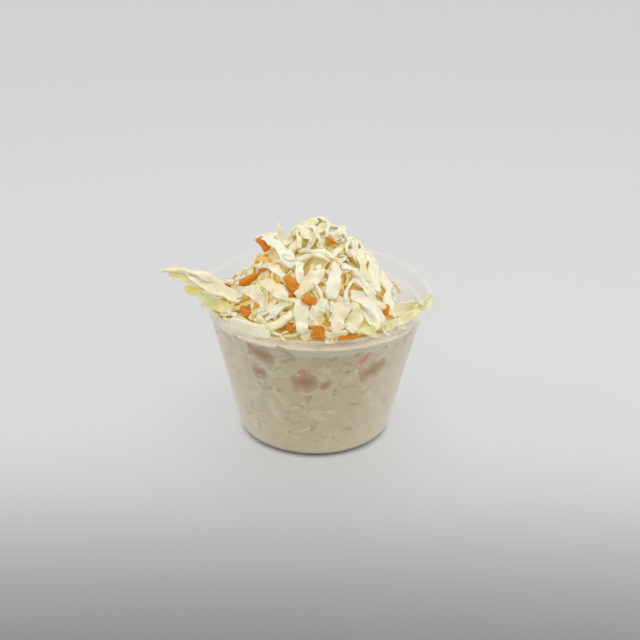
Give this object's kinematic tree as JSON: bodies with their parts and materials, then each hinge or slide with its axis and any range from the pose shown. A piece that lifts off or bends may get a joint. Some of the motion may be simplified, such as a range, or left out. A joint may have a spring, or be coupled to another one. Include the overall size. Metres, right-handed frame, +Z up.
{
  "type": "coleslaw in a portion cup",
  "caption": "Shredded cabbage and carrot in creamy dressing, heaped in a small clear plastic cup with a few shreds hanging out over its brim.",
  "frame": {"origin": "centre of the cup's flat base, on the surface it stands on", "axes": "+Z up along the cup's axis, -Y the front, -X the side where the longest shreds hang out over the brim"},
  "size_m": [0.0852, 0.074, 0.0716],
  "materials": {
    "clear_plastic": "thin clear polypropylene, very slightly milky, glossy",
    "dressed_cabbage": "wet white cabbage shreds coated in creamy dressing",
    "green_cabbage": "wet pale green outer-leaf shreds",
    "carrot": "wet grated carrot",
    "dressing": "creamy mayonnaise dressing between the shreds"
  },
  "bodies": {
    "root": {"cup": "clear_plastic", "coleslaw": "dressed_cabbage"}
  },
  "joints": []
}
